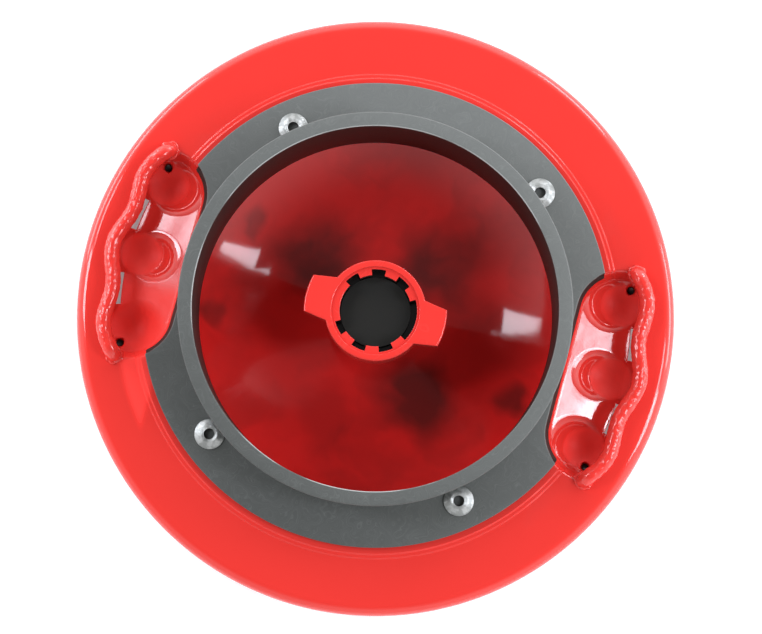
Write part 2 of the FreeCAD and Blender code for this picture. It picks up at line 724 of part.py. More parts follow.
def make_lug_collar():
    body = new_body("lug_collar")
    turn_profile(body, [
        ("bush_radius", "neck_bottom"),
        ("neck_radius", "neck_bottom"),
        ("neck_radius", "web_bottom"),
        ("hub_radius", "web_bottom"),
        ("hub_radius", "hub_top"),
        ("rim_step_radius", "hub_top"),
        ("rim_step_radius", "tooth_top"),
        ("tooth_tip_radius", "tooth_top"),
        ("tooth_tip_radius", "tooth_bottom"),
        ("socket_radius", "tooth_bottom"),
        ("socket_radius", "web_top"),
        ("bush_radius", "web_top"),
    ])
    round_circles(body, "head_round", "edge_round",
                  [("hub_radius", "hub_top"), ("hub_radius", "web_bottom")])

    # lugs on opposite sides, flush with the head's top and growing from inside its wall
    sketch = new_sketch(body, "lug_sketch", "XY_Plane")
    sketch.setExpression("AttachmentOffset.Base.z", sized("hub_top - lug_thickness"))
    tip_x = "sqrt(lug_reach * lug_reach - lug_tip_width * lug_tip_width / 4)"
    root_x = "sqrt(lug_root_radius * lug_root_radius - lug_root_width * lug_root_width / 4)"
    draw_outline(sketch, [
        (root_x, "- lug_root_width / 2"),
        (tip_x, "- lug_tip_width / 2"),
        (tip_x, "lug_tip_width / 2"),
        (root_x, "lug_root_width / 2"),
    ], {1: ("lug_reach", True), 3: ("lug_root_radius", False)})
    lug = body.newObject("PartDesign::Pad", "lug")
    lug.Profile = sketch
    lug.setExpression("Length", sized("lug_thickness"))
    doc.recompute()
    repeat_round(body, lug, 2, "360")

    # square notches between the teeth; one place has no notch and the tooth opposite is missing
    def notch(name, half_width, angle):
        def draw(sketch):
            sketch.setExpression("AttachmentOffset.Rotation.Angle", sized(angle))
            root = f"sqrt(socket_radius * socket_radius - {half_width} * {half_width})"
            inner = "(tooth_tip_radius - tooth_height)"
            draw_outline(sketch, [
                (inner, f"- {half_width}"),
                (root, f"- {half_width}"),
                (root, half_width),
                (inner, half_width),
            ], {1: ("socket_radius", True)})

        return cut_up(body, name, draw, start="tooth_bottom - slip_gap",
                      length="hub_top - tooth_bottom + slip_gap")

    first = notch("notch", "(notch_width / 2)", "(180 + tooth_pitch) * 1deg")
    repeat_round(body, first, 8, "7 * tooth_pitch")
    notch("missing_tooth", "(notch_width * 1.1)", "0deg")

    # groove under the neck that the stop pin runs in
    sketch = new_sketch(body, "stop_groove_sketch", "XZ_Plane")
    inner, outer = ("pin_circle - pin_radius - slip_gap", "pin_circle + pin_radius + slip_gap")
    draw_outline(sketch, [
        (inner, "neck_bottom - slip_gap"),
        (outer, "neck_bottom - slip_gap"),
        (outer, "neck_bottom + pin_rise + slip_gap"),
        (inner, "neck_bottom + pin_rise + slip_gap"),
    ])
    before = body.Shape.Volume
    groove = body.newObject("PartDesign::Groove", "stop_groove")
    groove.Profile = sketch
    groove.ReferenceAxis = (sketch, ["V_Axis"])
    groove.Midplane = True
    groove.setExpression("Angle", sized("turn_range * 1deg + pin_room_angle"))
    doc.recompute()
    if body.Shape.Volume >= before:
        raise RuntimeError("stop_groove cuts nothing")
    return body


# ---- bearing and retaining pieces of the collar ----

def make_collar_bush():
    body = new_body("collar_bush")
    outer = "bush_radius - seat_gap"
    turn_profile(body, [
        ("journal_radius + running_gap", "neck_bottom + seat_gap"),
        (outer, "neck_bottom + seat_gap"),
        (outer, "web_top"),
        ("journal_radius + running_gap", "web_top"),
    ])
    return body


def make_thrust_washer():
    body = new_body("thrust_washer")
    turn_profile(body, [
        ("journal_radius + slip_gap", "washer_bottom"),
        ("washer_radius", "washer_bottom"),
        ("washer_radius", "washer_bottom + washer_sheet"),
        ("journal_radius + slip_gap", "washer_bottom + washer_sheet"),
    ])
    return body


def make_retaining_ring():
    body = new_body("retaining_ring")
    inner = "groove_radius + seat_gap"
    turn_profile(body, [
        (inner, "clip_bottom"),
        ("journal_radius + clip_reach", "clip_bottom"),
        ("journal_radius + clip_reach", "clip_top"),
        (inner, "clip_top"),
    ])

    def gap(sketch):
        draw_outline(sketch, [
            ("- 2 * journal_radius", "- clip_reach"),
            ("- journal_radius / 2", "- clip_reach"),
            ("- journal_radius / 2", "clip_reach"),
            ("- 2 * journal_radius", "clip_reach"),
        ])

    cut_up(body, "clip_gap", gap)
    return body


def make_socket_cap():
    body = new_body("socket_cap")
    stem = "post_bore - running_gap"
    turn_profile(body, [
        ("0", "cap_bottom - cap_stem_length"),
        (stem, "cap_bottom - cap_stem_length"),
        (stem, "cap_bottom"),
        ("tooth_tip_radius - slip_gap", "cap_bottom"),
        ("tooth_tip_radius - slip_gap", "cap_top"),
        ("0", "cap_top"),
    ])
    return body


def make_stop_pin():
    pin = doc.addObject("Part::Cylinder", "stop_pin")
    pin.Label = "stop_pin"
    across, up = polar("pin_circle", "turn_range / 2")
    pin.setExpression("Radius", sized("pin_radius"))
    pin.setExpression("Height", sized(
        "shoulder_height + 2 * running_gap + washer_sheet + pin_rise"))
    pin.setExpression("Placement.Base.x", sized(across))
    pin.setExpression("Placement.Base.y", sized(up))
    pin.setExpression("Placement.Base.z", sized("shoulder_bottom"))
    return pin


# ---- build every piece, check it and write it ----

pieces = [
    make_flange_plate(),
    make_dished_bowl(),
    make_base_disc(),
    make_pocket_pan("right_pocket_pan", 0),
    make_pocket_pan("left_pocket_pan", 180),
    make_grip_bar("right_grip_bar", 0),
    make_grip_bar("left_grip_bar", 180),
    make_seat_ring(),
    make_blind_rivets(),
    make_hub_post(),
    make_lug_collar(),
    make_collar_bush(),
    make_thrust_washer(),
    make_retaining_ring(),
    make_socket_cap(),
    make_stop_pin(),
]
doc.recompute()
check_objects()
for piece in pieces:
    if piece.Shape.isNull() or not piece.Shape.isValid():
        raise RuntimeError(f"{piece.Label} has no valid shape")

os.makedirs("parts", exist_ok=True)
for piece in pieces:
    piece.Shape.exportStep(f"parts/{piece.Label}.step")
    box = piece.Shape.BoundBox
    print(f"{piece.Label}: {len(piece.Shape.Solids)} solids, {piece.Shape.Volume:.0f} mm3,"
          f" z {box.ZMin:.2f} to {box.ZMax:.2f}")
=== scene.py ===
import math

import bmesh
import bpy
from mathutils import Matrix, Vector, noise


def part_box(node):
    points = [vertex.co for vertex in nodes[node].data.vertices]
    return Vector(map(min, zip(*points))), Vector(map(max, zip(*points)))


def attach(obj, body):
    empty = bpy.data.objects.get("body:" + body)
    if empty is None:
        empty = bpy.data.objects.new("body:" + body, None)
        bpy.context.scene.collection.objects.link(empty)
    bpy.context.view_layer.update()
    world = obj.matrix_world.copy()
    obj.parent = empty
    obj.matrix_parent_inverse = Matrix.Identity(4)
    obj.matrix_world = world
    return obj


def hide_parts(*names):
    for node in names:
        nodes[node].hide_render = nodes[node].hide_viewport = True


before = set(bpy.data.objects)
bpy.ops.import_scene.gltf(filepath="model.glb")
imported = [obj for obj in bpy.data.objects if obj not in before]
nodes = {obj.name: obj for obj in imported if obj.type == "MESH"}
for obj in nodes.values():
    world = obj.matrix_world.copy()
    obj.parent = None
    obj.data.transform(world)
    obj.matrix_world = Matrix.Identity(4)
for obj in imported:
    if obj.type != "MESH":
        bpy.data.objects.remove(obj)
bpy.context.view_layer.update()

# ---- where the cover lies: a pale floor, two tall windows and a camera held almost overhead ----
# The cover lies face up on a light floor between two windows that stand in line with its grips.
# Their light falls across the ring and into the bowl, and the ceiling above is dimmer.

MM = 0.001
FACE_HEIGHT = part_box("flange_plate")[1][2] - 1.6 * MM

floor_mesh = bpy.data.meshes.new("floor")
floor_form = bmesh.new()
bmesh.ops.create_grid(floor_form, x_segments=8, y_segments=8, size=3.0)
floor_form.to_mesh(floor_mesh)
floor_form.free()
floor = bpy.data.objects.new("floor", floor_mesh)
floor.location.z = -0.0004
bpy.context.scene.collection.objects.link(floor)


class Shade:
    """A value in a material. Sums and products of it add Math nodes, and node() adds any other."""

    def __init__(self, tree, socket=None):
        self.tree = tree
        self.socket = socket

    def node(self, kind, settings=None, inputs=None, output=0):
        """Add a node: its settings first, then the values or links of its sockets."""
        made = self.tree.nodes.new("ShaderNode" + kind)
        for name, setting in (settings or {}).items():
            if name == "stops":
                stops = made.color_ramp.elements
                while len(stops) < len(setting):
                    stops.new(1.0)
                for stop, (place, colour) in zip(stops, setting):
                    stop.position = place
                    stop.color = (*colour, 1.0)
            else:
                setattr(made, name, setting)
        for name, source in (inputs or {}).items():
            if isinstance(source, Shade):
                self.tree.links.new(source.socket, made.inputs[name])
            else:
                made.inputs[name].default_value = source
        return Shade(self.tree, made.outputs[output] if len(made.outputs) else None)

    def maths(self, operation, other=0.0):
        """This value put through a Math node, with another where the operation takes two."""
        return self.node("Math", {"operation": operation}, {0: self, 1: other})

    def __add__(self, other):
        return self.maths("ADD", other)

    __radd__ = __add__

    def __sub__(self, other):
        return self.maths("SUBTRACT", other)

    def __rsub__(self, other):
        return self.node("Math", {"operation": "SUBTRACT"}, {0: other, 1: self})

    def __mul__(self, other):
        return self.maths("MULTIPLY", other)

    __rmul__ = __mul__

    def step(self, low, high):
        """0 below low and 1 above high, with a smooth rise between them."""
        return self.node("MapRange", {"interpolation_type": "SMOOTHSTEP"},
                         {"Value": self, "From Min": low, "From Max": high})

    def speckle(self, scale, detail=3.0, roughness=0.5):
        """Cloudy noise from 0 to 1 over this vector, with so many blotches to the metre."""
        return self.node("TexNoise", {"noise_dimensions": "3D"},
                         {"Vector": self, "Scale": scale, "Detail": detail,
                          "Roughness": roughness})

    def tint(self, low, high):
        """A colour that goes from low to high as this value goes from 0 to 1."""
        low, high = [end if isinstance(end, Shade) else (*end, 1.0) for end in (low, high)]
        return self.node("Mix", {"data_type": "RGBA"}, {0: self, 6: low, 7: high}, output=2)

    def swirl(self, other):
        """This vector pushed about by another."""
        return self.node("VectorMath", {"operation": "ADD"}, {0: self, 1: other})

    def scaled(self, x, y, z):
        """This vector with its coordinates multiplied."""
        return self.node("VectorMath", {"operation": "MULTIPLY"}, {0: self, 1: (x, y, z)})

    def part(self, axis):
        """One coordinate of this position, in millimetres."""
        return self.node("SeparateXYZ", None, {0: self.scaled(1000.0, 1000.0, 1000.0)},
                         output=axis)

    def from_axis(self):
        """How many millimetres this position is from the cover's axis."""
        return self.node("VectorMath", {"operation": "LENGTH"},
                         {0: self.scaled(1000.0, 1000.0, 0.0)}, output="Value")

    def near(self, x, y, inner, outer):
        """1 within one distance, in millimetres, of an upright line, and 0 beyond another."""
        reach = self.node("VectorMath", {"operation": "DISTANCE"},
                          {0: self.scaled(1000.0, 1000.0, 0.0), 1: (x, y, 0.0)}, output="Value")
        return 1.0 - reach.step(inner, outer)


def new_finish(name):
    """An empty material; gives the material, a starting Shade and the position vector."""
    material = bpy.data.materials.new(name)
    material.use_nodes = True
    material.node_tree.nodes.clear()
    start = Shade(material.node_tree)
    return material, start, start.node("TexCoord", output="Object")


def surface(start, inputs, relief=None, relief_height=0.0, relief_strength=1.0):
    """Close a material with a Principled shader, bumped by a relief of a height in metres."""
    if relief is not None:
        inputs["Normal"] = start.node("Bump", None, {
            "Height": relief, "Distance": relief_height, "Strength": relief_strength})
    shader = start.node("BsdfPrincipled", None, inputs)
    start.node("OutputMaterial", None, {"Surface": shader})


# painted shade: the sheet is painted grey and given no glow where the cover stands over it, and it
# is white and glows evenly round about
floor_paint, start, place = new_finish("floor_sheet")
mottle = place.speckle(9.0, 4.0)
open_floor = place.from_axis().step(112.0, 121.0)
surface(start, {"Base Color": (open_floor * (0.95 + 0.05 * mottle)).tint((0.30, 0.29, 0.28),
                                                                        (0.92, 0.92, 0.92)),
                "Roughness": 0.6 + 0.1 * mottle,
                "Emission Color": open_floor.tint((0.0, 0.0, 0.0), (1.0, 1.0, 1.0)),
                "Emission Strength": 0.3},
        place.speckle(900.0), 0.00005, 0.3)
floor_mesh.materials.append(floor_paint)

WALL_LIGHT = 1.8
CEILING_LIGHT = 0.20

scene = bpy.context.scene
scene.view_settings.view_transform = "Standard"
scene.world = bpy.data.worlds.new("room")
scene.world.use_nodes = True
scene.world.node_tree.nodes.clear()
room = Shade(scene.world.node_tree)
direction = room.node("TexCoord", output="Generated")
height = room.node("SeparateXYZ", None, {0: direction}, output=2)
across_room = room.node("VectorMath", {"operation": "DOT_PRODUCT"},
                        {0: direction, 1: (0.30, 0.95, 0.0)}, output="Value")
glow = WALL_LIGHT - (WALL_LIGHT - CEILING_LIGHT) * height.step(0.42, 0.9)
glow = glow * (1.0 + 0.35 * across_room)
backdrop = room.node("Background", None, {"Color": (0.98, 0.99, 1.0, 1.0), "Strength": glow})
room.node("OutputWorld", None, {"Surface": backdrop})


def window(name, azimuth, elevation, distance, width, height, power):
    """A rectangular light that faces the cover, its azimuth counted from the right grip."""
    lamp = bpy.data.lights.new(name, "AREA")
    lamp.shape = "RECTANGLE"
    lamp.size = width
    lamp.size_y = height
    lamp.energy = power
    lamp.color = (0.87, 0.91, 1.0)
    piece = bpy.data.objects.new(name, lamp)
    turn, rise = math.radians(azimuth), math.radians(elevation)
    away = Vector((math.cos(turn) * math.cos(rise), math.sin(turn) * math.cos(rise),
                   math.sin(rise)))
    piece.location = Vector((0.0, 0.0, FACE_HEIGHT)) + away * distance
    piece.rotation_euler = away.to_track_quat("Z", "Y").to_euler()
    scene.collection.objects.link(piece)
    return piece


window("window_right", 0.0, 45.0, 1.7, 0.29, 0.58, 7.5)
window("window_left", 182.0, 45.0, 1.7, 0.29, 0.58, 7.5)
window("skylight_right", 10.0, 56.0, 1.7, 0.30, 0.40, 3.6)
window("skylight_left", 165.0, 54.0, 1.7, 0.22, 0.36, 2.3)
window("side_right", 22.0, 14.0, 1.8, 0.75, 0.5, 9.0)
window("side_left", 158.0, 14.0, 1.8, 1.3, 0.5, 14.0)
window("side_back", 66.0, 16.0, 1.8, 0.5, 0.4, 7.0)

CAMERA_AZIMUTH = 15.0
CAMERA_ELEVATION = 84.5
CAMERA_DISTANCE = 1.02
LENS = 115.7
turn, rise = math.radians(CAMERA_AZIMUTH), math.radians(CAMERA_ELEVATION)
back = Vector((math.sin(turn) * math.cos(rise), -math.cos(turn) * math.cos(rise), math.sin(rise)))
right = Vector((math.cos(turn), math.sin(turn), 0.0))
aim = Vector((0.0, 0.0, FACE_HEIGHT)) + right * 0.0023 + back.cross(right) * -0.00105
camera = bpy.data.objects.new("camera", bpy.data.cameras.new("camera"))
camera.data.lens = LENS
camera.location = aim + back * CAMERA_DISTANCE
camera.rotation_mode = "QUATERNION"
camera.rotation_quaternion = (-back).to_track_quat("-Z", "Y")
scene.collection.objects.link(camera)
scene.camera = camera

# ---- cover plate: the pressed round of sheet steel with its two grip pockets ----
# A disc of 3 mm sheet with a rolled rim, a low raised land for the ring and, at each grip, a
# pocket pressed outwards and down with three finger cups. It is enamelled in gloss red.

MOUTH_RADIUS = 78.0
FLANGE_RADIUS = 125.0
RIM_ROUND = 5.0
SKIRT_DEPTH = 10.0
LAND_RISE = 1.6
LAND_RADIUS = 99.2
SLOPE_RUN = 2.4
SLOPE_EDGE = 0.6
PLATE_SHEET = 2.6
POCKET_EDGE = 81.65
POCKET_SIDE = 42.5
POCKET_CORNER = 17.0
FLOOR_RADIUS = 107.2
WINDOW_RADIUS = 112.45
FLOOR_BELOW = 1.45
FLOOR_FALL = 0.26
CUP_ANGLE = 17.41
CUP_RADIUS = 8.4
CUP_DEPTH = 3.1
CUPS = ((-CUP_ANGLE, 94.25), (0.0, 91.05), (CUP_ANGLE, 94.25))
CUP_BLEND = 1.9
CUP_MIDDLES = ((101.9, 0.0), (98.6, 30.9), (98.6, -30.9))
POCKET_ROLL = 3.8
POCKET_SPREAD = 2.6
SLOT_ANGLES = (5.0, 12.2)
DRAIN_PLACES = [(x, y) for x in (100.9, -100.9) for y in (38.4, -38.4)]
DRAIN_RADIUS = 1.5
DRAIN_DEPTH = 2.6

face = FACE_HEIGHT / MM


def ease(value):
    """A smooth rise from 0 to 1 as the value goes from 0 to 1."""
    value = min(max(value, 0.0), 1.0)
    return value * value * (3.0 - 2.0 * value)


def soft_lower(first, second, width):
    """The lower of two heights, rounded off where they cross."""
    share = max(width - abs(first - second), 0.0) / width
    return min(first, second) - share * share * width * 0.25


def cup_height(across, along, start_radius):
    """The height of a finger cup's surface in its own directions."""
    near = start_radius + CUP_RADIUS
    far = WINDOW_RADIUS - CUP_RADIUS
    level = face - FLOOR_BELOW - FLOOR_FALL * (near - POCKET_EDGE)
    curve = (CUP_RADIUS ** 2 + CUP_DEPTH ** 2) / (2.0 * CUP_DEPTH)
    above = curve - CUP_DEPTH
    reach = math.hypot(max(near - along, along - far, 0.0), across)
    if reach <= CUP_RADIUS:
        return level + above - math.sqrt(curve ** 2 - reach ** 2)
    return level + (reach - CUP_RADIUS) * CUP_RADIUS / above


def plate_height(radius, angle):
    """The height of the plate's upper face inside the rim, pockets included."""
    out = radius - LAND_RADIUS
    steep = ease(out / SLOPE_EDGE) + ease((out - SLOPE_RUN + SLOPE_EDGE) / SLOPE_EDGE)
    plain = face + LAND_RISE * (1.0 - 0.46 * steep - 0.08 * ease(out / SLOPE_RUN))
    turned = (angle + 90.0) % 180.0 - 90.0
    across = radius * math.cos(math.radians(turned))
    up = radius * math.sin(math.radians(turned))
    beyond_edge = POCKET_EDGE + POCKET_CORNER - across
    beyond_side = abs(up) - (POCKET_SIDE - POCKET_CORNER)
    if beyond_edge > 0.0 and beyond_side > 0.0:
        inside = POCKET_CORNER - math.hypot(beyond_edge, beyond_side) + POCKET_SPREAD
    else:
        inside = POCKET_CORNER - max(beyond_edge, beyond_side) + POCKET_SPREAD
    if inside <= 0.0 or radius >= WINDOW_RADIUS:
        return plain
    level = face - FLOOR_BELOW - FLOOR_FALL * (min(across, FLOOR_RADIUS) - POCKET_EDGE)
    for cup_angle, start_radius in CUPS:
        swing = math.radians(turned - cup_angle)
        cup = cup_height(radius * math.sin(swing), radius * math.cos(swing), start_radius)
        level = soft_lower(level, cup, CUP_BLEND)
    level = plain + (level - plain) * ease(inside / POCKET_ROLL)
    return plain + (level - plain) * ease((WINDOW_RADIUS - radius) / 1.3)


def drain_depth(radius, angle):
    """How far the plate is dimpled down, without a hole, at one of the four drains beside the bars'
    ends.
    """
    x, y = radius * math.cos(math.radians(angle)), radius * math.sin(math.radians(angle))
    away = min(math.hypot(x - drain[0], y - drain[1]) for drain in DRAIN_PLACES)
    return DRAIN_DEPTH * (1.0 - ease((away - DRAIN_RADIUS) / 0.7))


def spread(low, high, step):
    """Evenly spaced numbers from low up to but not including high."""
    count = max(round((high - low) / step), 1)
    return [low + (high - low) * index / count for index in range(count)]


def finish_mesh(name, points, faces, crease=35.0):
    """An object from points in millimetres and faces, smooth up to a crease angle."""
    mesh = bpy.data.meshes.new(name)
    mesh.from_pydata([[number * MM for number in point] for point in points], [], faces)
    form = bmesh.new()
    form.from_mesh(mesh)
    bmesh.ops.remove_doubles(form, verts=form.verts, dist=1e-7)
    bmesh.ops.dissolve_degenerate(form, edges=form.edges, dist=1e-8)
    bmesh.ops.recalc_face_normals(form, faces=form.faces)
    form.to_mesh(mesh)
    form.free()
    mesh.shade_smooth()
    mesh.set_sharp_from_angle(angle=math.radians(crease))
    piece = bpy.data.objects.new(name, mesh)
    scene.collection.objects.link(piece)
    return piece


def swept_round(name, angles, section, closed=True, open_at=None, crease=35.0):
    """A surface whose section at each angle about the axis is a list of (radius, height)."""
    rows = [section(angle) for angle in angles]
    size = len(rows[0])
    points = []
    for angle, row in zip(angles, rows):
        cosine, sine = math.cos(math.radians(angle)), math.sin(math.radians(angle))
        points += [(radius * cosine, radius * sine, height) for radius, height in row]
    faces = []
    for index, angle in enumerate(angles):
        following = (index + 1) % len(angles)
        for step in range(size if closed else size - 1):
            if open_at and open_at(angle, rows[index][step][0]):
                continue
            beyond = (step + 1) % size
            faces.append((index * size + step, following * size + step,
                          following * size + beyond, index * size + beyond))
    return finish_mesh(name, points, faces, crease)


plate_radii = [MOUTH_RADIUS, 79.8]
plate_radii += spread(80.6, 98.4, 0.5) + spread(98.4, 102.4, 0.12)
plate_radii += spread(102.4, FLOOR_RADIUS, 0.42) + spread(FLOOR_RADIUS, 112.2, 0.5)
plate_radii += spread(112.2, WINDOW_RADIUS, 0.2) + spread(WINDOW_RADIUS, 120.0, 1.3)
rim_arc = [math.radians(step * 9.0) for step in range(11)]
pocket_angles = (spread(-30.0, -SLOT_ANGLES[1], 0.3) + spread(-SLOT_ANGLES[1], -SLOT_ANGLES[0], 0.3)
                 + spread(-SLOT_ANGLES[0], SLOT_ANGLES[0], 0.3)
                 + spread(SLOT_ANGLES[0], SLOT_ANGLES[1], 0.3) + spread(SLOT_ANGLES[1], 30.0, 0.3))
plate_angles = (pocket_angles + spread(30.0, 150.0, 1.0)
                + [angle + 180.0 for angle in pocket_angles] + spread(210.0, 330.0, 1.0))


def plate_section(angle):
    """The plate's upper side from its mouth out over the rim and down the skirt."""
    row = [(radius, plate_height(radius, angle) - drain_depth(radius, angle))
           for radius in plate_radii]
    row += [(FLANGE_RADIUS - RIM_ROUND + RIM_ROUND * math.sin(lean),
             face - RIM_ROUND + RIM_ROUND * math.cos(lean)) for lean in rim_arc]
    return row + [(FLANGE_RADIUS, face - SKIRT_DEPTH + 0.6),
                  (FLANGE_RADIUS - 0.3, face - SKIRT_DEPTH)]


def in_slot(angle, radius):
    """Whether a patch lies in one of the gaps between a pocket's floor and the bar."""
    turned = abs((angle + 0.1 + 90.0) % 180.0 - 90.0)
    return (SLOT_ANGLES[0] <= turned < SLOT_ANGLES[1]
            and FLOOR_RADIUS - 0.01 <= radius < WINDOW_RADIUS - 0.01)


def painted_red(name, gloss=0.09, peel=0.5, blotch=0.10, lumps=0.0, dark=None, wear_and_light=None):
    """Gloss enamel over steel: faint orange peel, handling smears and lumps where it ran.

    dark takes the position and gives where painted shade darkens the paint near to black;
    wear_and_light takes it and gives where the paint is dulled by wear and also painted a brighter
    red as painted light, and where its coat shines more.
    """
    material, start, place = new_finish(name)
    cloud = place.speckle(14.0, 4.0)
    smear = place.swirl(place.speckle(30.0)).speckle(22.0, 5.0, 0.6)
    grains = place.speckle(2600.0, 2.0)
    colour = (cloud * 0.7 + grains * 0.3).tint((0.67, 0.028, 0.021), (0.77, 0.038, 0.030))
    relief = place.speckle(420.0, 2.0) * peel + place.speckle(1500.0, 2.0) * (0.15 + lumps)
    roughness = gloss + blotch * smear.step(0.52, 0.75)
    coat = 0.35 + 0.10 * cloud
    if wear_and_light:
        matt_and_lightened, streaked = wear_and_light(place)
        # painted light: where the paint is dulled it is also painted a brighter red, which lifts
        # the shade in the finger cups and brightens the lower left pocket floor
        colour = matt_and_lightened.tint(colour, (0.98, 0.042, 0.032))
        roughness = roughness + 0.40 * matt_and_lightened
        coat = (coat + streaked) * (1.0 - matt_and_lightened)
    if dark:
        colour = dark(place).tint(colour, (0.014, 0.006, 0.005))
    surface(start, {
        "Base Color": colour,
        "Roughness": roughness,
        "Coat Weight": coat,
        "Coat Roughness": 0.04,
        "Specular IOR Level": 0.32,
    }, relief, 0.00005, 0.35)
    return material


def in_drains(place):
    """Painted shade: the insides of the four drain dimples, painted near-black to stand for open
    holes.
    """
    return sum(place.near(x, y, 1.3, 2.1) for x, y in DRAIN_PLACES)


def pocket_wear_and_light(place):
    """Where the finger cups and the lower left pocket floor are dulled by wear and painted brighter
    as painted light, and where the pocket floors keep a streaky shine.
    """
    matt_and_lightened = sum(place.near(side * x, y, 7.6, 10.0) for side in (1.0, -1.0) for x, y in CUP_MIDDLES)
    sideways = place.part(0)
    pocket = sideways.maths("ABSOLUTE").step(POCKET_EDGE - 1.65, POCKET_EDGE + 2.35)
    pocket = pocket * (1.0 - place.from_axis().step(106.0, 110.0))
    low_left = (1.0 - sideways.step(-10.0, 10.0)) * (1.0 - place.part(1).step(-16.0, -4.0))
    streaks = place.scaled(1.0, 0.35, 1.0).swirl(0.02 * place.speckle(45.0))
    streaks = streaks.speckle(120.0, 4.0, 0.6).step(0.34, 0.60)
    matt_and_lightened = (matt_and_lightened + pocket * low_left).maths("MINIMUM", 1.0)
    return matt_and_lightened, pocket * (0.65 * streaks - 0.1)


plate_paint = painted_red("cover_enamel", dark=in_drains, wear_and_light=pocket_wear_and_light)
cover_plate = swept_round("cover_plate", plate_angles, plate_section, closed=False,
                          open_at=in_slot, crease=50.0)
thick = cover_plate.modifiers.new("sheet", "SOLIDIFY")
thick.thickness = PLATE_SHEET * MM
thick.offset = -1.0
cover_plate.data.materials.append(plate_paint)
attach(cover_plate, "cover")
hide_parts("flange_plate", "right_pocket_pan", "left_pocket_pan")

# ---- dished bowl and base disc ----
# The bowl is spun from 2.4 mm sheet and welded to the back of the plate round its mouth. A disc
# doubles its middle, where the hub post is welded through. All of it is in the same red, which the
# bowl's enamel paints a little darker as painted shade, and painted shadows with some random
# clouding darken it further round the post and near its mouth.

BOWL_SHEET = 2.4
BOWL_FLAT = 22.0
BOWL_FLOOR = 5.4
BOWL_RISE = 17.7
POST_RADIUS = 14.05
PLATE_BACK = 3.05
# each painted shadow: its place, the radii where it is full and where it ends, and its depth of
# colour
PAINTED_SHADOWS = ((-28.4, 21.4, 4.0, 25.0, 0.8), (21.5, 31.0, 4.0, 25.0, 0.7),
          (29.0, -24.0, 4.0, 26.0, 0.9), (-13.0, -49.0, 6.0, 22.0, 0.35),
          (67.0, -16.5, 3.0, 10.0, 0.6), (-59.5, 27.0, 3.0, 8.0, 0.5),
          (-66.0, -15.0, 3.0, 9.0, 0.5), (44.0, 48.0, 6.0, 24.0, 0.35))


def dish_arc(flat, low, run, rise, steps=48):
    """Points of an arc that leaves the level at a radius and climbs by a rise over a run."""
    curve = (run * run + rise * rise) / (2.0 * rise)
    return [(flat + run * step / steps,
             low + curve - math.sqrt(curve * curve - (run * step / steps) ** 2))
            for step in range(steps + 1)]


bowl_curve = ((MOUTH_RADIUS - BOWL_FLAT) ** 2 + BOWL_RISE ** 2) / (2.0 * BOWL_RISE)
back_run = MOUTH_RADIUS + BOWL_SHEET - BOWL_FLAT
back_curve = bowl_curve + BOWL_SHEET
back_rise = back_curve - math.sqrt(back_curve ** 2 - back_run ** 2)
bowl_inside = dish_arc(BOWL_FLAT, BOWL_FLOOR, MOUTH_RADIUS - BOWL_FLAT, BOWL_RISE)
bowl_outside = dish_arc(BOWL_FLAT, BOWL_FLOOR - BOWL_SHEET, back_run, back_rise)
bowl_top = face + LAND_RISE - PLATE_BACK
bowl_row = ([(POST_RADIUS, BOWL_FLOOR)] + bowl_inside + [(MOUTH_RADIUS, bowl_top)]
            + [(MOUTH_RADIUS + BOWL_SHEET, bowl_top)] + bowl_outside[::-1]
            + [(POST_RADIUS, BOWL_FLOOR - BOWL_SHEET)])
bowl_paint, start, place = new_finish("bowl_enamel")
stirred = place.swirl((place.speckle(32.0, 3.0) - 0.5) * 0.032)
# painted shade: a random cloudy darkening, with the painted shadows laid over it round the post and
# near the mouth
painted_shade_and_clouding = 0.30 * stirred.speckle(34.0, 3.0).step(0.40, 0.66)
for x, y, inner, outer, share in PAINTED_SHADOWS:
    painted_shade_and_clouding = painted_shade_and_clouding + share * stirred.near(x, y, inner, outer)
painted_shade_and_clouding = painted_shade_and_clouding.maths("MINIMUM", 1.0)
surface(start, {
    # painted shade: the bowl's red is set darker than the plate's enamel
    "Base Color": painted_shade_and_clouding.tint((0.64, 0.015, 0.014), (0.13, 0.011, 0.010)),
    "Roughness": 0.045 + 0.03 * place.speckle(40.0, 4.0),
    "Specular IOR Level": 0.4,
}, place.speckle(420.0, 2.0), 0.00002, 0.3)
bowl = swept_round("dish", spread(0.0, 360.0, 0.75), lambda angle: bowl_row, crease=50.0)
bowl.data.materials.append(bowl_paint)
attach(bowl, "cover")
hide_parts("dished_bowl")

for name in ("base_disc", "hub_post"):
    for patch in nodes[name].material_slots:
        patch.material = plate_paint

# ---- grip bars: round rod in three waves, its ends bent down and welded into the plate ----
# Each bar is 6 mm rod, bent by hand to fit the fingers, then dipped in a thick lumpy coat of the
# same enamel. Weld metal is piled round both legs where they go through the plate.

BAR_RADIUS = 3.35
BAR_MIDDLE = 111.35
BAR_WAVE = 1.57
BAR_HEIGHT = face + 4.0
BAR_BEND = 4.0
WAVE_END = 21.76


def lumpy(point, size, coarse, fine):
    """How far a thick coat of paint stands out at a point, in millimetres."""
    spot = Vector(point)
    return size * (noise.noise(spot * coarse) + 0.5 * noise.noise(spot * fine))


